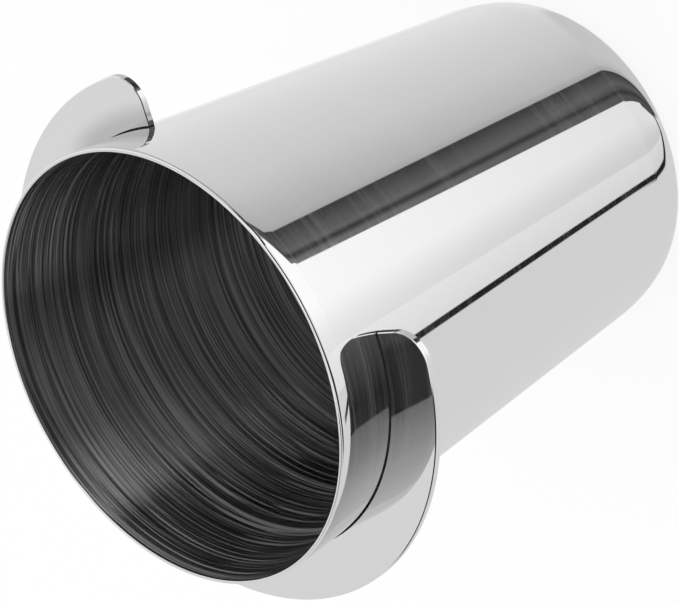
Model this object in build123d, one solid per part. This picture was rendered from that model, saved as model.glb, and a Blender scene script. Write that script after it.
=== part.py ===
from build123d import *
import os

# Deep drawn dosing cup in polished stainless steel, standing on its base.
# The origin is the centre of the base, +Z runs up to the mouth, and -Y is the open side of the collar.
# All sizes are in millimetres and degrees.

# Cup, one deep drawn piece with a steady taper
mouth_diameter = 58.0
base_diameter = 46.5
cup_height = 76.0
wall_thickness = 0.6
base_corner_radius = 4.0
lip_outer_radius = 0.45
lip_inner_chamfer = 0.08

# Collar, one stamped C-shaped plate that carries the cup in a fork
collar_overhang = 6.4
collar_thickness = 1.0
collar_set_back = 9.4
collar_opening_angle = 88.8
collar_corner_radius = 4.0
collar_edge_chamfer = 0.15

# Seam between the wall and the collar: the brazing gap and the groove on its mouth side
seat_clearance = 0.1
seam_chamfer = 0.25


def wall_radius(height):
    """Outside radius of the tapered wall at a height above the base."""
    slope = (mouth_diameter - base_diameter) / 2 / cup_height
    return base_diameter / 2 + slope * height


def rim_edges(cup):
    """The circles in the plane of the mouth, from the smallest to the largest."""
    near_mouth = cup.edges().filter_by(GeomType.CIRCLE).filter_by_position(
        Axis.Z, cup_height - 0.01, cup_height + 0.01
    )
    return near_mouth.sort_by(SortBy.RADIUS)


def make_cup():
    """The cup: a tapered blank, its base corner, the hollow inside and the rounded lip."""
    with BuildPart() as cup:
        with BuildSketch(Plane.XZ):
            with BuildLine():
                Polyline(
                    (0, 0),
                    (wall_radius(0), 0),
                    (wall_radius(cup_height), cup_height),
                    (0, cup_height),
                    close=True,
                )
            make_face()
        revolve(axis=Axis.Z)
        base_edge = cup.edges().filter_by(GeomType.CIRCLE).sort_by(Axis.Z)[0]
        fillet(base_edge, base_corner_radius)
        mouth_face = cup.faces().sort_by(Axis.Z)[-1]
        offset(amount=-wall_thickness, openings=mouth_face)
        fillet(rim_edges(cup)[-1], lip_outer_radius)
        chamfer(rim_edges(cup)[0], lip_inner_chamfer)
    return cup.part


def make_collar():
    """The collar: a flat C that follows the taper inside, with rounded ends and broken edges."""
    top = cup_height - collar_set_back
    bottom = top - collar_thickness
    rim_radius = mouth_diameter / 2 + collar_overhang
    reach = rim_radius - wall_radius(top) - seat_clearance
    with BuildPart() as collar:
        with BuildSketch(Plane.XZ):
            with BuildLine():
                Polyline(
                    (wall_radius(bottom) + seat_clearance, bottom),
                    (rim_radius, bottom),
                    (rim_radius, top),
                    (wall_radius(top) + seat_clearance + seam_chamfer, top),
                    (wall_radius(top - seam_chamfer) + seat_clearance, top - seam_chamfer),
                    close=True,
                )
            make_face()
        revolve(axis=Axis.Z, revolution_arc=360 - collar_opening_angle)
        end_corners = collar.edges().filter_by(Axis.Z)
        fillet(end_corners, min(collar_corner_radius, 0.75 * reach))
        flat_faces = collar.faces().filter_by(Axis.Z)
        bore_edges = flat_faces.edges().filter_by(GeomType.CIRCLE).filter_by(
            lambda edge: edge.radius > collar_corner_radius and edge.radius < rim_radius - reach / 2
        )
        chamfer(flat_faces.edges() - bore_edges, collar_edge_chamfer)
    return Rot(0, 0, -90 + collar_opening_angle / 2) * collar.part


os.makedirs("parts", exist_ok=True)
export_step(make_cup(), "parts/cup_body.step")
export_step(make_collar(), "parts/collar.step")
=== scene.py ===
import bpy
import math
from mathutils import Matrix, Vector


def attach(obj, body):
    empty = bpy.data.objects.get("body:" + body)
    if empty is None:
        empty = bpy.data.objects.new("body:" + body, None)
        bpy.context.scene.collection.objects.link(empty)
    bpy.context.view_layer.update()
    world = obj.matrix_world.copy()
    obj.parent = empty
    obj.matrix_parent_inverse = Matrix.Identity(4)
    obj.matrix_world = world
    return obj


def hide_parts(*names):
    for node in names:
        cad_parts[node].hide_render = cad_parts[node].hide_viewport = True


# Sizes are in millimetres and degrees, and meshes are written in metres
MM = 0.001

# Cup: the taper, the corner at the base, the lip, and the stretch below it that polishing rolls inward
MOUTH_R = 29.0
BASE_R = 23.25
HEIGHT = 76.0
WALL = 0.6
BASE_CORNER = 4.0
CORNER_WIDTH = 2.6
CORNER_HEIGHT = 9.0
ROLL_LENGTH = 2.2
ROLL_ANGLE = 4.0
LIP_WIDTH = 0.25
LIP_HEIGHT = 0.4
LIP_INNER = 0.18

# Collar: a flat C with rounded ends and broken edges, open towards -Y
COLLAR_R = 35.4
COLLAR_TOP = 66.6
COLLAR_THICK = 1.0
COLLAR_HALF_OPENING = 44.4
COLLAR_CORNER = 4.0
COLLAR_EDGE = 0.11
RIM_TILT = 1.5
END_CROWN = 2.5

# Seam between the two: its width, the groove on the mouth side, and how far the floor of painted shadow that
# closes it enters the wall
SEAM_GAP = 0.12
SEAM_CHAMFER = 0.06
SEAM_DROP = 0.08
SEAM_OVERLAP = 0.02

# Steps that the cup is cut into: round the axis, then along the stretches of its section
AROUND = 512
FLAT_RINGS = 6
OVAL_RINGS = 40
STRETCH_RINGS = 12
INNER_LIP_RINGS = 4

# Steps that the collar is cut into: round a corner, along the rim and across an end
CORNER_STEPS = 24
RIM_STEPS = 240
END_STEPS = 12

# Material slots of the cup and of the collar
OUTSIDE, INSIDE = 0, 1
FACE, SEAM, EDGE = 0, 1, 2

# Steel: its grey level, the roughness of the bare mirror, and the least radius in metres for the streaks
STEEL = 0.9
MIRROR_ROUGHNESS = 0.012
LEAST_RADIUS = 1e-5

# Camera: its place in metres, the directions of the picture's right and up, and a long lens
CAMERA_PLACE = (-0.15125, -0.29108, 0.32816)
CAMERA_RIGHT = (-0.69501, -0.28446, -0.66034)
CAMERA_UP = (0.63184, -0.67993, -0.37212)
CAMERA_LENS = 179.0
CAMERA_SENSOR = 36.0
CAMERA_CLIP = (0.01, 20.0)

# Floor: half its side in metres, and the share of its white that the camera sees, for a faint shadow
FLOOR_HALF = 4.0
FLOOR_WHITE = 0.85


# Shapes
def wall_radius(z):
    """Outside radius of the tapered wall."""
    return BASE_R + (MOUTH_R - BASE_R) * z / HEIGHT


class Surface:
    """A mesh in the making: points with their normals, and faces with their material slots."""

    def __init__(self):
        self.verts = []
        self.normals = []
        self.faces = []
        self.slots = []

    def point(self, place, normal):
        self.verts.append(place)
        self.normals.append(normal)
        return len(self.verts) - 1

    def face(self, corners, slot):
        self.faces.append(corners)
        self.slots.append(slot)

    def strip(self, rows, slot, flip=False):
        """Rows of (x, y, z, nx, ny, nz) joined into quads."""
        grid = [[self.point(p[:3], p[3:]) for p in row] for row in rows]
        for row, above in zip(grid, grid[1:]):
            for i in range(len(row) - 1):
                quad = (row[i], above[i], above[i + 1], row[i + 1])
                self.face(quad[::-1] if flip else quad, slot)

    def build(self, name, materials):
        mesh = bpy.data.meshes.new(name)
        mesh.from_pydata([(x * MM, y * MM, z * MM) for x, y, z in self.verts], [], self.faces)
        for mat in materials:
            mesh.materials.append(mat)
        for poly, slot in zip(mesh.polygons, self.slots):
            poly.material_index = slot
            poly.use_smooth = True
        mesh.normals_split_custom_set_from_vertices(self.normals)
        mesh.update()
        ob = bpy.data.objects.new(name, mesh)
        bpy.context.scene.collection.objects.link(ob)
        return ob


def cup_profile():
    """The drawn section from the centre of the base, up the outside, over the lip and down the inside.

    Each point is (r, z, normal r, normal z, slot).
    """
    lean = math.atan((MOUTH_R - BASE_R) / HEIGHT)
    cos_l = math.cos(lean)
    sin_l = math.sin(lean)
    out = []

    def straight(r1, z1, normal, slot):
        r0, z0 = out[-1][:2]
        for i in range(1, STRETCH_RINGS + 1):
            s = i / STRETCH_RINGS
            out.append((r0 + (r1 - r0) * s, z0 + (z1 - z0) * s, *normal, slot))

    def oval(centre_r, centre_z, width, height, start, stop, top=1.0):
        """Part of an oval, which is top times as high above its centre as below."""
        for i in range(1, OVAL_RINGS + 1):
            a = start + (stop - start) * i / OVAL_RINGS
            nr = math.cos(a) / width
            nz = math.sin(a) / height
            size = math.hypot(nr, nz)
            z = centre_z + height * math.sin(a) * (top if a > 0 else 1.0)
            out.append((centre_r + width * math.cos(a), z, nr / size, nz / size, OUTSIDE))

    # base face and drawn corner, which starts softly on the wall
    corner_start = math.atan2(CORNER_HEIGHT * sin_l, CORNER_WIDTH * cos_l)
    corner_top = CORNER_HEIGHT - CORNER_HEIGHT * math.sin(corner_start)
    corner_r = wall_radius(corner_top) - CORNER_WIDTH * math.cos(corner_start)
    for i in range(FLAT_RINGS + 1):
        out.append((corner_r * i / FLAT_RINGS, 0.0, 0.0, -1.0, OUTSIDE))
    oval(corner_r, CORNER_HEIGHT, CORNER_WIDTH, CORNER_HEIGHT, -math.pi / 2, -corner_start)

    # outside wall, rolled inward a little below the rim, then the soft outer edge of the lip
    roll = math.radians(ROLL_ANGLE)
    roll_r = ROLL_LENGTH / math.sin(roll)
    ease = lean - roll
    lip_start = math.atan2(LIP_HEIGHT * math.sin(ease), LIP_WIDTH * math.cos(ease))
    roll_z = HEIGHT - LIP_HEIGHT - LIP_HEIGHT * math.sin(lip_start) - ROLL_LENGTH
    straight(wall_radius(roll_z), roll_z, (cos_l, -sin_l), OUTSIDE)
    for i in range(1, STRETCH_RINGS + 1):
        tilt = lean - roll * i / STRETCH_RINGS
        r = wall_radius(roll_z) + roll_r * (math.cos(tilt) - cos_l)
        z = roll_z + roll_r * (sin_l - math.sin(tilt))
        out.append((r, z, math.cos(tilt), -math.sin(tilt), OUTSIDE))
    lip_r = out[-1][0] - LIP_WIDTH * math.cos(lip_start)
    lip_z = out[-1][1] + LIP_HEIGHT * math.sin(lip_start)
    oval(lip_r, lip_z, LIP_WIDTH, LIP_HEIGHT, -lip_start, math.pi / 2, (HEIGHT - lip_z) / LIP_HEIGHT)

    # lip's inner edge
    inner_r = wall_radius(HEIGHT) - WALL / cos_l + LIP_INNER
    for i in range(INNER_LIP_RINGS + 1):
        a = math.pi / 2 + (math.pi / 2 - lean) * i / INNER_LIP_RINGS
        nr = math.cos(a)
        nz = math.sin(a)
        out.append((inner_r + LIP_INNER * nr, HEIGHT - LIP_INNER + LIP_INNER * nz, nr, nz, OUTSIDE))

    # inside wall, inner corner and floor
    inner_corner = BASE_CORNER - WALL
    floor_r = wall_radius(BASE_CORNER) - (WALL + inner_corner) / cos_l
    straight(floor_r + inner_corner * cos_l, BASE_CORNER - inner_corner * sin_l, (-cos_l, sin_l), INSIDE)
    for i in range(1, STRETCH_RINGS + 1):
        a = -lean - (math.pi / 2 - lean) * i / STRETCH_RINGS
        nr = math.cos(a)
        nz = math.sin(a)
        out.append((floor_r + inner_corner * nr, BASE_CORNER + inner_corner * nz, -nr, -nz, INSIDE))
    for i in range(FLAT_RINGS - 1, -1, -1):
        out.append((floor_r * i / FLAT_RINGS, WALL, 0.0, 1.0, INSIDE))
    return out


def lathe(name, profile, materials):
    """A profile turned round the axis, where its two ends lie."""
    surface = Surface()
    rings = []
    for r, z, nr, nz, _ in profile:
        if r == 0.0:
            rings.append([surface.point((0.0, 0.0, z), (0.0, 0.0, nz))])
            continue
        ring = []
        for i in range(AROUND):
            a = 2 * math.pi * i / AROUND
            place = (r * math.cos(a), r * math.sin(a), z)
            ring.append(surface.point(place, (nr * math.cos(a), nr * math.sin(a), nz)))
        rings.append(ring)
    for k in range(len(rings) - 1):
        low, high = rings[k], rings[k + 1]
        slot = profile[k + 1][4]
        for i in range(AROUND):
            j = (i + 1) % AROUND
            if len(low) == 1:
                surface.face((low[0], high[j], high[i]), slot)
            elif len(high) == 1:
                surface.face((low[i], low[j], high[0]), slot)
            else:
                surface.face((low[i], low[j], high[j], high[i]), slot)
    return surface.build(name, materials)


def collar_path(inset, bore_r):
    """The C seen from above, drawn in by inset: the outer path and the bore, each of (x, y, nx, ny)."""
    start = -90 + COLLAR_HALF_OPENING
    end = 270 - COLLAR_HALF_OPENING
    centre_r = COLLAR_R - COLLAR_CORNER
    turn = math.degrees(math.asin(COLLAR_CORNER / centre_r))
    outer = []

    def add(centre_x, centre_y, radius, angle):
        nx = math.cos(math.radians(angle))
        ny = math.sin(math.radians(angle))
        outer.append((centre_x + radius * nx, centre_y + radius * ny, nx, ny))

    def corner(place, first):
        a = math.radians(place)
        for i in range(CORNER_STEPS + 1):
            angle = first + (turn + 90) * i / CORNER_STEPS
            add(centre_r * math.cos(a), centre_r * math.sin(a), COLLAR_CORNER - inset, angle)

    corner(start + turn, start - 90)
    for i in range(1, RIM_STEPS):
        add(0.0, 0.0, COLLAR_R - inset, start + turn + (end - start - 2 * turn) * i / RIM_STEPS)
    corner(end - turn, end - turn)

    # the bore has a point for each outer one, at the same angle but no nearer to the ends than inset
    trim = math.degrees(math.asin(inset / bore_r))
    angles = []
    for x, y, _, _ in outer:
        angle = math.degrees(math.atan2(y, x))
        if angle < -90:
            angle += 360
        angles.append(min(max(angle, start + trim), end - trim))
    angles[0] = start + trim
    angles[-1] = end - trim
    bore = []
    for angle in angles:
        nx = math.cos(math.radians(angle))
        ny = math.sin(math.radians(angle))
        bore.append((bore_r * nx, bore_r * ny, -nx, -ny))
    return outer, bore


def collar_end(path, end):
    """A flat end of the C from bore to corner, with normals that fan out a little; end is 0 or -1."""
    outer, bore = path
    outer_x, outer_y, nx, ny = outer[end]
    bore_x, bore_y = bore[end][:2]
    line = []
    for i in range(END_STEPS + 1):
        s = i / END_STEPS
        crown = math.radians(END_CROWN) * (1 - s) * (1 if end else -1)
        crown_x = nx * math.cos(crown) - ny * math.sin(crown)
        crown_y = nx * math.sin(crown) + ny * math.cos(crown)
        line.append((bore_x + (outer_x - bore_x) * s, bore_y + (outer_y - bore_y) * s, crown_x, crown_y))
    return line


def make_collar(materials):
    """The collar as strips between paths at two heights, each pair of (inset, z) with its own slope."""
    surface = Surface()
    top = COLLAR_TOP
    low = COLLAR_TOP - COLLAR_THICK
    groove = top - SEAM_DROP

    def bore_at(z):
        return wall_radius(z) + SEAM_GAP + SEAM_CHAMFER * max(0.0, 1 - (top - z) / SEAM_DROP)

    def path_at(inset, z):
        return collar_path(inset, bore_at(z))

    def sloped(path, z, slope):
        """A path at height z, its normals raised by slope degrees."""
        n_out = math.cos(math.radians(slope))
        n_up = math.sin(math.radians(slope))
        return [(x, y, z, nx * n_out, ny * n_out, n_up) for x, y, nx, ny in path]

    # upper chamfer, rim and lower chamfer, round the C and across its two ends
    upper = ((COLLAR_EDGE, top), (0.0, top - COLLAR_EDGE))
    rim = ((0.0, top - COLLAR_EDGE), (0.0, low + COLLAR_EDGE))
    lower = ((0.0, low + COLLAR_EDGE), (COLLAR_EDGE, low))
    for band, slope, slot in ((upper, 45.0, EDGE), (rim, RIM_TILT, FACE), (lower, -45.0, FACE)):
        surface.strip([sloped(path_at(inset, z)[0], z, slope) for inset, z in band], slot)
        for end in (0, -1):
            rows = [sloped(collar_end(path_at(inset, z), end), z, slope) for inset, z in band]
            surface.strip(rows, slot, end == -1)
    # top and underside
    for z, slope in ((top, 90.0), (low, -90.0)):
        outer, bore = path_at(COLLAR_EDGE, z)
        surface.strip([sloped(bore, z, slope), sloped(outer, z, slope)], FACE, slope < 0)
    # groove and bore against the cup
    side = ((COLLAR_EDGE, top), (0.0, groove))
    seat = ((0.0, groove), (COLLAR_EDGE, low))
    for band, slope in ((side, math.degrees(math.atan2(SEAM_CHAMFER, SEAM_DROP))), (seat, 0.0)):
        surface.strip([sloped(path_at(inset, z)[1], z, slope) for inset, z in band], SEAM, True)
    # floor of painted shadow that closes the gap to the cup, above and below
    for z, slope in ((groove, 90.0), (low + SEAM_DROP, -90.0)):
        rows = [collar_path(COLLAR_EDGE, wall_radius(z) + reach)[1] for reach in (-SEAM_OVERLAP, SEAM_GAP)]
        surface.strip([sloped(row, z, slope) for row in rows], SEAM, slope < 0)
    return surface.build("collar_plate", materials)


# Shader nodes
class Nodes:
    """Short calls that add Math nodes to a tree; a value is a number or another node's output."""

    def __init__(self, tree):
        self.tree = tree

    def link(self, value, socket):
        if isinstance(value, (int, float)):
            socket.default_value = value
        else:
            self.tree.links.new(value, socket)

    def coordinates(self, output):
        coord = self.tree.nodes.new("ShaderNodeTexCoord")
        split = self.tree.nodes.new("ShaderNodeSeparateXYZ")
        self.tree.links.new(coord.outputs[output], split.inputs[0])
        return split.outputs

    def math(self, operation, *values):
        node = self.tree.nodes.new("ShaderNodeMath")
        node.operation = operation
        for value, socket in zip(values, node.inputs):
            self.link(value, socket)
        return node.outputs[0]

    def add(self, a, b):
        return self.math("ADD", a, b)

    def sub(self, a, b):
        return self.math("SUBTRACT", a, b)

    def mul(self, a, b):
        return self.math("MULTIPLY", a, b)

    def length(self, x, y):
        return self.math("SQRT", self.add(self.mul(x, x), self.mul(y, y)))

    def degrees(self, y, x):
        return self.mul(self.math("ARCTAN2", y, x), 180 / math.pi)

    def clamp(self, value, low, high):
        return self.math("MINIMUM", self.math("MAXIMUM", value, low), high)

    def past(self, value, edge):
        """How far value is past edge, and 0 before it."""
        return self.math("MAXIMUM", self.sub(value, edge), 0.0)

    def ramp(self, value, low, high, smooth=True):
        """0 at low and 1 at high, whichever is the greater."""
        node = self.tree.nodes.new("ShaderNodeMapRange")
        node.interpolation_type = "SMOOTHSTEP" if smooth else "LINEAR"
        self.link(value, node.inputs["Value"])
        self.link(low, node.inputs["From Min"])
        self.link(high, node.inputs["From Max"])
        return node.outputs["Result"]

    def window(self, value, low, full_low, full_high, high):
        """1 between the two inner values, falling to 0 at the outer ones."""
        return self.mul(self.ramp(value, low, full_low), self.ramp(value, high, full_high))

    def steps(self, value, stretches):
        """Sum of amounts, each of which comes in from its first value to its second."""
        total = 0.0
        for low, high, amount in stretches:
            total = self.add(total, self.mul(self.ramp(value, low, high), amount))
        return total

    def mix(self, a, b, factor):
        return self.add(a, self.mul(self.sub(b, a), factor))


# Materials
def new_material(name, level, roughness):
    """A metal of one grey level; its tree and its shader are returned with it."""
    mat = bpy.data.materials.new(name)
    mat.use_nodes = True
    shader = mat.node_tree.nodes["Principled BSDF"]
    shader.inputs["Base Color"].default_value = (level, level, level, 1.0)
    shader.inputs["Metallic"].default_value = 1.0
    shader.inputs["Roughness"].default_value = roughness
    return mat, mat.node_tree, shader


def brush_noise(n, turn, across, detail, shift=0.0):
    """Streaks that run round the axis: turn sets their length, across their number per metre."""
    x, y, z = n.coordinates("Object")
    radius = n.math("MAXIMUM", n.length(x, y), LEAST_RADIUS)
    along = n.sub(z, radius)
    vector = n.tree.nodes.new("ShaderNodeCombineXYZ")
    n.link(n.mul(n.math("DIVIDE", x, radius), turn), vector.inputs[0])
    n.link(n.mul(n.math("DIVIDE", y, radius), turn), vector.inputs[1])
    n.link(n.add(n.mul(along, across), shift), vector.inputs[2])
    noise = n.tree.nodes.new("ShaderNodeTexNoise")
    noise.inputs["Scale"].default_value = 1.0
    noise.inputs["Detail"].default_value = detail
    noise.inputs["Roughness"].default_value = 0.6
    n.link(vector.outputs[0], noise.inputs["Vector"])
    return noise.outputs["Fac"]


def grey(n, value, socket):
    """A grey level into a colour socket."""
    join = n.tree.nodes.new("ShaderNodeCombineColor")
    for i in range(3):
        n.link(value, join.inputs[i])
    n.link(join.outputs[0], socket)


def polished_steel(name, rings, scatter):
    """Mirror finish with faint rings from the polishing, of a given roughness and pale tone."""
    mat, tree, shader = new_material(name, STEEL, 0.02)
    n = Nodes(tree)
    fine = brush_noise(n, turn=0.6, across=3000.0, detail=2.0)
    broad = brush_noise(n, turn=0.5, across=300.0, detail=1.0, shift=7.0)
    z = n.coordinates("Object")[2]
    near_rim = n.add(n.mul(n.ramp(z, 0.055, 0.072), 0.5), 0.5)
    streak = n.mul(n.mul(n.ramp(fine, 0.4, 0.65), n.ramp(broad, 0.3, 0.65)), near_rim)
    n.link(n.add(n.mul(streak, rings), MIRROR_ROUGHNESS), shader.inputs["Roughness"])
    n.link(n.sub(1.0, n.mul(streak, scatter)), shader.inputs["Metallic"])
    shader.inputs["Specular IOR Level"].default_value = 0.0
    return mat


def object_angle(n):
    """Radius in millimetres and angle from 0 to 360 degrees round the axis."""
    x, y, _ = n.coordinates("Object")
    angle = n.degrees(y, x)
    return n.mul(n.length(x, y), 1 / MM), n.add(angle, n.mul(n.math("LESS_THAN", angle, 0.0), 360.0))


def collar_steel():
    """The collar's polish, with painted shade beside the seat at both ends, where it meets the cup."""
    mat = polished_steel("turned_collar", 0.05, 0.03)
    shader = mat.node_tree.nodes["Principled BSDF"]
    n = Nodes(mat.node_tree)
    radius, angle = object_angle(n)
    # painted shade: darker towards the bore where the collar meets the cup, fully at one end and half at the
    # other
    one_end = n.ramp(angle, 352.0, 336.0)
    other_end = n.mul(n.ramp(angle, 201.0, 207.0), 0.5)
    ends = n.mix(other_end, one_end, n.math("GREATER_THAN", angle, 270.0))
    shade = n.mul(n.ramp(radius, 32.4, 29.2), ends)
    grey(n, n.sub(STEEL, n.mul(shade, 0.27)), shader.inputs["Base Color"])
    return mat


def edge_steel():
    """The collar's fine upper chamfer, with a painted dark reflection along one side and at one end."""
    mat, tree, shader = new_material("collar_edge_painted_reflection", STEEL, 0.03)
    n = Nodes(tree)
    angle = object_angle(n)[1]
    # painted reflection: the chamfer is near black along one side and at one end
    side = n.window(angle, 164.0, 174.0, 209.5, 211.5)
    end = n.window(angle, 313.6, 314.0, 315.4, 315.9)
    grey(n, n.mix(STEEL, 0.09, n.math("MAXIMUM", side, end)), shader.inputs["Base Color"])
    return mat


def painted_reflection_fans(n, angle, z):
    """Painted reflection: pale fans fixed round the axis, in place of light that the brushing spreads, as the
    share that is scattered.
    """
    lip_fan = n.steps(angle, (
        (-24.0, 24.0, 0.072),
        (22.0, 27.0, -0.035),
        (30.0, 64.0, 0.06),
        (62.0, 81.0, 0.19),
        (84.0, 95.0, -0.263),
        (112.0, 126.0, -0.022),
    ))
    deep_fan = n.steps(angle, ((5.0, 22.0, 0.06), (27.0, 42.0, 0.11), (88.0, 116.0, -0.166)))
    floor_fan = n.mul(n.window(angle, 8.0, 30.0, 70.0, 90.0), n.ramp(z, 0.042, 0.03))
    deep_fan = n.add(deep_fan, n.mul(floor_fan, 0.12))
    fan = n.mix(deep_fan, lip_fan, n.ramp(z, 0.045, 0.074))
    return n.mul(fan, n.add(n.mul(n.ramp(z, 0.066, 0.075), 0.3), 1.0))


def brushed_strokes(n, angle, z, fine):
    """Thin pale strokes of the brushing, drawn where a noise passes its middle value; their extra brightness
    beside the fans is painted light.
    """
    thread = brush_noise(n, turn=0.15, across=1100.0, detail=0.0, shift=5.0)
    hair = brush_noise(n, turn=0.4, across=1900.0, detail=0.0, shift=12.0)
    lit = brush_noise(n, turn=1.4, across=330.0, detail=1.0, shift=17.0)
    rough = n.sub(n.mul(n.sub(fine, 0.5), 0.3), 0.5)
    off_thread = n.math("ABSOLUTE", n.add(thread, rough))
    off_hair = n.math("ABSOLUTE", n.add(hair, rough))
    long_stroke = n.mul(n.ramp(off_thread, 0.06, 0.02), n.ramp(lit, 0.44, 0.56))
    short_stroke = n.mul(n.ramp(off_hair, 0.07, 0.02), n.ramp(lit, 0.54, 0.42))
    short_share = n.add(n.mul(n.ramp(z, 0.062, 0.05), 0.5), 0.6)
    # painted light: the strokes are brighter on two sides, beside the fans
    one_side = n.mul(n.window(angle, -175.0, -140.0, 16.0, 24.0), n.ramp(z, 0.045, 0.074))
    other_side = n.mul(n.window(angle, 78.0, 90.0, 140.0, 175.0), n.ramp(z, 0.03, 0.044))
    painted_light_zone = n.add(n.mul(one_side, 0.5), other_side)
    return n.mul(n.add(long_stroke, n.mul(short_stroke, short_share)), n.add(n.mul(painted_light_zone, 0.25), 0.03))


def brushed_steel():
    """Turned inside: a grey brushed metal that partly scatters, with a bump from the same noise. Its low grey
    is partly painted shade inside the cup.
    """
    mat, tree, shader = new_material("brushed_inside", 0.6, 0.35)
    n = Nodes(tree)
    fine = brush_noise(n, turn=0.8, across=3600.0, detail=2.0)
    medium = brush_noise(n, turn=0.7, across=1300.0, detail=2.0, shift=3.0)
    broad = brush_noise(n, turn=1.0, across=160.0, detail=1.0, shift=9.0)
    x, y, z = n.coordinates("Object")
    angle = n.degrees(y, x)
    # light that is scattered: fans of painted reflection broken up by the grain, and strokes
    coarse = n.add(n.mul(n.ramp(medium, 0.35, 0.65), 0.25), n.mul(n.ramp(broad, 0.3, 0.7), 0.15))
    grain = n.add(coarse, n.mul(n.ramp(fine, 0.42, 0.58), 0.6))
    fans = n.mul(painted_reflection_fans(n, angle, z), n.add(n.mul(grain, 1.1), 0.12))
    scatter = n.math("MAXIMUM", n.add(fans, brushed_strokes(n, angle, z, fine)), 0.004)
    # grey of the metal: streaked at random, with painted shade on two sides near the lip and painted light
    # between them
    tone = n.add(n.mul(fine, 0.85), n.add(n.mul(medium, 0.15), n.add(n.mul(broad, 0.04), 0.03)))
    painted_shade = n.mul(n.add(n.ramp(angle, 5.0, -25.0), n.ramp(angle, 94.0, 120.0)), n.ramp(z, 0.036, 0.05))
    level = n.mul(n.add(n.mul(n.ramp(tone, 0.4, 0.7), 0.5), 0.17), n.sub(1.0, n.mul(painted_shade, 0.5)))
    level = n.mul(level, n.add(n.mul(n.window(angle, 24.0, 44.0, 80.0, 96.0), 0.3), 1.0))
    grey(n, level, shader.inputs["Base Color"])
    metallic = n.sub(1.0, n.math("DIVIDE", scatter, level))
    n.link(n.math("MAXIMUM", metallic, 0.0), shader.inputs["Metallic"])
    n.link(n.add(n.mul(medium, 0.25), 0.22), shader.inputs["Roughness"])
    shader.inputs["Specular IOR Level"].default_value = 0.0
    shader.inputs["Anisotropic"].default_value = 0.6
    tangent = tree.nodes.new("ShaderNodeTangent")
    tangent.direction_type = "RADIAL"
    tangent.axis = "Z"
    n.link(tangent.outputs[0], shader.inputs["Tangent"])
    bump = tree.nodes.new("ShaderNodeBump")
    bump.inputs["Strength"].default_value = 0.35
    bump.inputs["Distance"].default_value = 0.00006
    n.link(n.add(fine, n.mul(medium, 0.4)), bump.inputs["Height"])
    n.link(bump.outputs[0], shader.inputs["Normal"])
    return mat


def seam_shadow():
    """The dark joint between collar and cup: a rough unpolished bore, near black as painted shadow of the
    gap.
    """
    return new_material("seam_shadow", 0.02, 0.6)[0]


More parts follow.
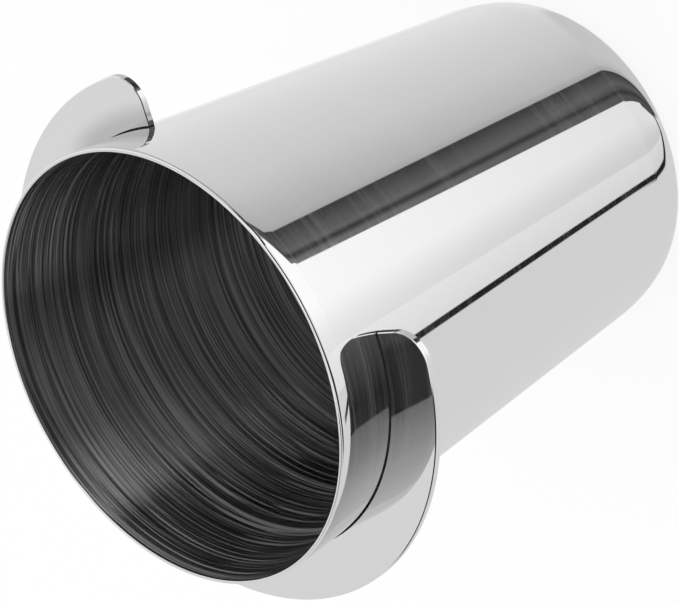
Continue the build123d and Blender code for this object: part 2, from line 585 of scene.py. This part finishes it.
# Studio light
class Studio(Nodes):
    """The room round the object, painted by the direction of a ray and seen only in reflections.

    Angles go round the object in degrees from +X towards +Y, and elevations are degrees above the horizon.
    A card is (start, stop, (level at start, level at stop), softness of its edges).
    """

    SURROUND = 0.69
    BLACK = 0.015
    # elevation that the wall mirrors, and how far from it a card's edges go on leaning
    RING_ELEVATION = -52.0
    RING_LEAN = 4.0
    # places under the object are slopes from straight down: where the cards meet, and how far out they turn
    CARD_MEET = (-0.06, 0.07)
    MEET_REACH = 0.75
    # black line that the base corner mirrors, the dark one that turns off from its end, and where they fade
    GAP_LINE = ((-0.73, -0.137), (-0.655, -0.127), (-0.43, -0.026), (-0.17, -0.002), (-0.095, -0.085))
    GAP_SIDE = ((-0.115, -0.09), (-0.15, -0.22), (-0.155, -0.33))
    GAP_FADE = (0.036, 0.0168)
    # over the wall's ring, where the rim of the collar looks
    RIM_CARDS = (
        (-190, -140, (0.66, 0.78), 3.0),
        (-140, -118, (0.78, 1.03), 3.0),
        (-118, -80, (1.03, 1.03), 2.0),
        (-150.9, -150.1, (0.5, 0.5), 0.4),
        (-80, -60, (0.55, 0.55), 2.0),
        (-60, 60, (0.5, 0.62), 2.0),
    )
    # above the horizon, where the top of the collar looks
    TOP_CARDS = (
        (62, 100, (0.755, 0.50), 8.0),
        (98, 135, (0.50, 0.325), 1.5),
        (134, 168, (0.325, 0.135), 1.0),
    )

    def __init__(self, tree):
        super().__init__(tree)
        x, y, z = self.coordinates("Generated")
        self.elevation = self.mul(self.math("ARCSINE", z), 180 / math.pi)
        self.under = self.math("LESS_THAN", z, 0.0)
        depth = self.math("MAXIMUM", self.math("ABSOLUTE", z), 0.02)
        self.flat_x = self.math("DIVIDE", x, depth)
        self.flat_y = self.math("DIVIDE", y, depth)
        # below the object the cards close towards one point beside the nadir
        reach = self.length(self.flat_x, self.flat_y)
        pull = self.mul(self.sub(1.0, self.ramp(reach, 0.0, self.MEET_REACH)), self.under)
        pulled_x = self.sub(self.flat_x, self.mul(pull, self.CARD_MEET[0]))
        pulled_y = self.sub(self.flat_y, self.mul(pull, self.CARD_MEET[1]))
        self.turn = self.degrees(pulled_y, pulled_x)
        # the same angle counted from -240 to 120, and from -82 to 278
        self.angle = self.sub(self.turn, self.mul(self.math("GREATER_THAN", self.turn, 120.0), 360.0))
        self.around = self.add(self.turn, self.mul(self.math("LESS_THAN", self.turn, -82.0), 360.0))
        height = self.sub(self.elevation, self.RING_ELEVATION)
        self.height = self.clamp(height, -self.RING_LEAN, self.RING_LEAN)
        # second is 1 for light that has been mirrored more than once, between the collar and the cup
        self.path = tree.nodes.new("ShaderNodeLightPath")
        self.second = self.math("GREATER_THAN", self.path.outputs["Ray Depth"], 2.5)
        self.first = self.sub(1.0, self.second)

    def panel(self, under, angle, start, stop, level, soft,
              height=None, lean=(0.0, 0.0), lift=0.0, mask=None):
        """A card laid over what is under it; with height, lean moves its two edges and lift its level."""
        start_edge = self.add(self.mul(height, lean[0]), start) if lean[0] else start
        stop_edge = self.add(self.mul(height, lean[1]), stop) if lean[1] else stop
        shift_a = self.sub(angle, start_edge)
        shift_b = self.sub(stop_edge, angle)
        inside = self.mul(self.ramp(shift_a, -soft, soft), self.ramp(shift_b, -soft, soft))
        if mask is not None:
            inside = self.mul(inside, mask)
        shade = self.mix(level[0], level[1], self.ramp(angle, start, stop, smooth=False))
        if lift:
            shade = self.mul(shade, self.add(self.mul(height, lift), 1.0))
        return self.mix(under, shade, inside)

    def near_line(self, points):
        """1 on a line through points under the object, falling to 0 beside it."""
        nearest = 9.0
        for (ax, ay), (bx, by) in zip(points, points[1:]):
            dx = bx - ax
            dy = by - ay
            off_x = self.sub(self.flat_x, ax)
            off_y = self.sub(self.flat_y, ay)
            share = self.mul(self.add(self.mul(off_x, dx), self.mul(off_y, dy)), 1 / (dx * dx + dy * dy))
            share = self.clamp(share, 0.0, 1.0)
            side_x = self.sub(off_x, self.mul(share, dx))
            side_y = self.sub(off_y, self.mul(share, dy))
            nearest = self.math("MINIMUM", nearest, self.length(side_x, side_y))
        return self.mul(self.ramp(nearest, *self.GAP_FADE), self.under)

    def wall_ring(self):
        """What the wall mirrors: grey surround, white key panel and the thin black gap beyond it."""
        angle, height = self.angle, self.height
        low = self.panel(self.SURROUND, angle, -85, 0, (0.46, 0.72), 0.6, height, lift=-0.02)
        low = self.panel(low, angle, -84, -76, (0.36, 0.47), 1.5)
        low = self.panel(low, angle, -62, 40, (0.60, 0.84), 20.0)
        low = self.panel(low, angle, 40, 66, (0.86, 0.86), 6.0)
        low = self.panel(low, angle, -167.2, -150, (0.75, 0.83), 0.5, height, (-0.7, 0.0), 0.02)
        brighter = self.add(self.mul(self.ramp(angle, -150.0, -122.0), 0.2), 0.745)
        white = self.mul(brighter, self.add(self.mul(height, 0.035), 1.0))
        low = self.mix(low, white, self.window(angle, -151.0, -149.0, -86.0, -82.0))
        flared = self.add(angle, self.mul(self.past(self.elevation, -48.0), 2.3))
        low = self.panel(low, flared, -171.2, -167.2, (0.02, self.BLACK), 0.4, height, (-0.7, -0.7),
                         mask=self.window(self.elevation, -56.0, -54.5, -42.3, -41.3))
        return self.corner_lines(low)

    def corner_lines(self, low):
        """Under the object the gap bends as the base corner turns, and the pale side darkens."""
        front = self.window(self.turn, -75.0, -55.0, 50.0, 75.0)
        low = self.mix(low, 0.6, self.mul(front, self.ramp(self.elevation, -54.5, -59.0)))
        low = self.mix(low, 0.08, self.near_line(self.GAP_SIDE))
        gap = self.mul(self.near_line(self.GAP_LINE), self.ramp(self.elevation, -53.6, -54.4))
        return self.mix(low, self.BLACK, gap)

    def dark_flag(self, low):
        """The flag beside the key panel, which turns along the lip of the cup."""
        flag = self.sub(self.angle, self.mul(self.past(self.elevation, -46.0), 3.9))
        inner = self.sub(self.angle, self.mul(self.past(self.elevation, -44.0), 2.5))
        inner_edge = self.ramp(inner, -80.2, -81.0)
        low = self.panel(low, flag, -105.2, -92, (0.14, 0.125), 0.35, self.height, (0.97, 0.0), 0.1,
                         mask=self.ramp(self.angle, -79.0, -81.0))
        fall = self.add(self.mul(self.ramp(inner, -95.0, -82.0, smooth=False), -0.075), 0.127)
        low = self.mix(low, fall, self.mul(self.ramp(flag, -97.0, -93.0), inner_edge))
        return self.panel(low, flag, -100.6, -97.0, (0.045, 0.045), 1.8, self.height, (0.53, 0.53),
                          mask=inner_edge)

    def over_ring(self, low):
        """What the rim looks at: a white key that greys towards the back, a grey front, and a bar between."""
        angle, elevation = self.angle, self.elevation
        lifted = self.sub(elevation, self.mul(self.past(angle, -36.0), 0.05))
        key = self.panel(low, angle, -188, -101, (0.80, 0.95), 3.0, mask=self.ramp(lifted, -41.0, -40.4))
        upright = self.ramp(elevation, -39.9, -39.5)
        for card in self.RIM_CARDS:
            key = self.panel(key, angle, *card, mask=upright)
        key = self.panel(key, angle, -70, 60, (0.9, 0.9), 6.0, mask=self.ramp(elevation, -30.0, -10.0))
        # the bar widens with the elevation, at its own rate on each side
        spread = self.sub(elevation, -38.8)
        bar = self.mul(self.ramp(self.add(angle, self.mul(spread, 8.2)), -79.0, -75.5),
                       self.ramp(self.sub(angle, self.mul(spread, 21.6)), -59.0, -63.0))
        bar = self.mul(bar, self.mul(upright, self.ramp(elevation, -33.0, -35.0)))
        shade = self.steps(angle, ((-74.0, -94.0, 0.13), (-62.0, -50.0, 0.03)))
        key = self.mix(key, self.add(shade, 0.035), bar)
        # a second reflection, between the collar and the cup, meets a dark room
        upper = self.mul(self.second, self.ramp(elevation, -46.0, -44.0))
        lower = self.mul(self.second, self.ramp(elevation, -46.0, -47.0))
        key = self.panel(key, angle, -150, -96, (0.13, 0.08), 3.0, mask=upper)
        return self.panel(key, angle, -127, -100, (0.045, 0.045), 2.0, mask=lower)

    def upper_ring(self):
        """Above the horizon: a pale room that falls off to a black flag behind the collar and the lip."""
        around, elevation = self.around, self.elevation
        high = self.panel(0.85, self.turn, -60, 66, (0.5, 0.75), 10.0)
        for card in self.TOP_CARDS:
            high = self.panel(high, around, *card)
        dim = self.mul(self.ramp(elevation, 40.0, 44.0), self.ramp(around, 115.0, 150.0))
        high = self.mul(high, self.sub(1.0, self.mul(self.mul(self.second, dim), 0.2)))
        steep = self.ramp(elevation, 38.0, 44.0)
        high = self.panel(high, around, 164.5, 290, (0.025, 0.028), 0.8, steep, (-3.0, 0.0))
        high = self.panel(high, around, 172, 290, (0.016, 0.22), 2.0, mask=self.ramp(elevation, 38.0, 42.0))
        high = self.panel(high, around, 200, 290, (0.06, 0.06), 4.0, mask=self.ramp(elevation, 42.0, 38.0))
        # pale ceiling, darker straight above
        high = self.mix(high, 0.95, self.ramp(elevation, 50.0, 60.0))
        high = self.mix(high, 0.62, self.ramp(elevation, 66.0, 80.0))
        # lamps on the side of the collar's opening
        high = self.panel(high, around, 182, 232, (0.75, 1.0), 4.0, mask=self.first)
        high = self.panel(high, around, 230, 330, (1.1, 1.1), 4.0, mask=self.first)
        return self.panel(high, around, 214, 265, (0.6, 0.8), 3.0, mask=self.second)

    def lip_line(self, glow):
        """Dark line that runs along the lip, low at its two ends and high in the middle."""
        angle = self.angle
        rise = self.mul(self.ramp(angle, -185.0, -125.0), 50.0)
        fall = self.steps(angle, ((-94.0, -86.0, 42.0), (-84.0, -76.0, -10.0), (-73.0, -20.0, 26.0)))
        centre = self.sub(rise, self.add(fall, 30.0))
        half = self.sub(23.0, self.steps(angle, ((-76.0, -50.0, 8.0), (-50.0, 0.0, 3.0))))
        line = self.ramp(self.math("ABSOLUTE", self.sub(self.elevation, centre)), self.add(half, 2.0), half)
        # it comes in at the back and fades in two steps towards the front
        drawn = self.mul(self.add(self.ramp(angle, -66.0, -74.0), self.ramp(angle, -8.0, -22.0)), 0.5)
        line = self.mul(line, self.mul(self.ramp(angle, -202.0, -186.0), drawn))
        line = self.mul(line, self.mul(self.ramp(self.elevation, -37.5, -35.5), self.first))
        return self.mix(glow, 0.02, line)

    def paint(self, background):
        """Plain white light, with the room in what the metal mirrors."""
        below = self.over_ring(self.dark_flag(self.wall_ring()))
        glow = self.lip_line(self.mix(below, self.upper_ring(), self.ramp(self.elevation, 22.0, 26.0)))
        rays = self.path.outputs
        mirrored = self.math("MAXIMUM", rays["Is Glossy Ray"], rays["Is Transmission Ray"])
        background.inputs["Color"].default_value = (1, 1, 1, 1)
        self.link(self.mix(1.0, glow, mirrored), background.inputs["Strength"])


def build_world():
    world = bpy.data.worlds.new("studio")
    bpy.context.scene.world = world
    world.use_nodes = True
    world.cycles.sampling_method = "NONE"
    Studio(world.node_tree).paint(world.node_tree.nodes["Background"])


def build_floor():
    """White floor with the object's soft shadow; the metal shows the studio instead."""
    mesh = bpy.data.meshes.new("floor")
    corners = [(x * FLOOR_HALF, y * FLOOR_HALF, 0) for x, y in ((-1, -1), (1, -1), (1, 1), (-1, 1))]
    mesh.from_pydata(corners, [], [(0, 1, 2, 3)])
    floor = bpy.data.objects.new("floor", mesh)
    bpy.context.scene.collection.objects.link(floor)
    mat = bpy.data.materials.new("floor_white")
    mat.use_nodes = True
    tree = mat.node_tree
    n = Nodes(tree)
    shader = tree.nodes["Principled BSDF"]
    shader.inputs["Base Color"].default_value = (1.0, 1.0, 1.0, 1.0)
    shader.inputs["Roughness"].default_value = 1.0
    shader.inputs["Specular IOR Level"].default_value = 0.0
    white = tree.nodes.new("ShaderNodeEmission")
    white.inputs["Strength"].default_value = 1.0
    path = tree.nodes.new("ShaderNodeLightPath")
    blend = tree.nodes.new("ShaderNodeMixShader")
    n.link(n.mul(path.outputs["Is Camera Ray"], FLOOR_WHITE), blend.inputs[0])
    n.link(shader.outputs[0], blend.inputs[1])
    n.link(white.outputs[0], blend.inputs[2])
    n.link(blend.outputs[0], tree.nodes["Material Output"].inputs["Surface"])
    mesh.materials.append(mat)
    floor.visible_glossy = False


def build_camera():
    """Camera at the photograph's viewing angle, rolled so that the mouth points to the lower left."""
    data = bpy.data.cameras.new("camera")
    data.lens = CAMERA_LENS
    data.sensor_width = CAMERA_SENSOR
    data.clip_start, data.clip_end = CAMERA_CLIP
    camera = bpy.data.objects.new("camera", data)
    bpy.context.scene.collection.objects.link(camera)
    right = Vector(CAMERA_RIGHT)
    up = Vector(CAMERA_UP)
    basis = Matrix((right, up, right.cross(up))).transposed().to_4x4()
    camera.matrix_world = Matrix.Translation(Vector(CAMERA_PLACE)) @ basis
    bpy.context.scene.camera = camera


polished = polished_steel("polished_steel", 0.06, 0.06)
turned = collar_steel()
brushed = brushed_steel()
seam = seam_shadow()
edge = edge_steel()

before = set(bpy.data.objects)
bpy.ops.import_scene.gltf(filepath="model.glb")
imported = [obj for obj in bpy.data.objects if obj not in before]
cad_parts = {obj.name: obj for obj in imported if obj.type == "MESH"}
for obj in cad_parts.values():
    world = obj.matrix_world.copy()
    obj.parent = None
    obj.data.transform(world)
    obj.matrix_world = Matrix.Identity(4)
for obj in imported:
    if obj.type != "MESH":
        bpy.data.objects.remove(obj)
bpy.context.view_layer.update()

# The two pieces, each in place of its CAD node
cup = lathe("drawn_cup", cup_profile(), [polished, brushed])
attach(cup, "root")
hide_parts("cup_body")
collar = make_collar([turned, seam, edge])
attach(collar, "root")
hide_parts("collar")

build_camera()
build_world()
build_floor()

bpy.context.scene.view_settings.view_transform = "Standard"
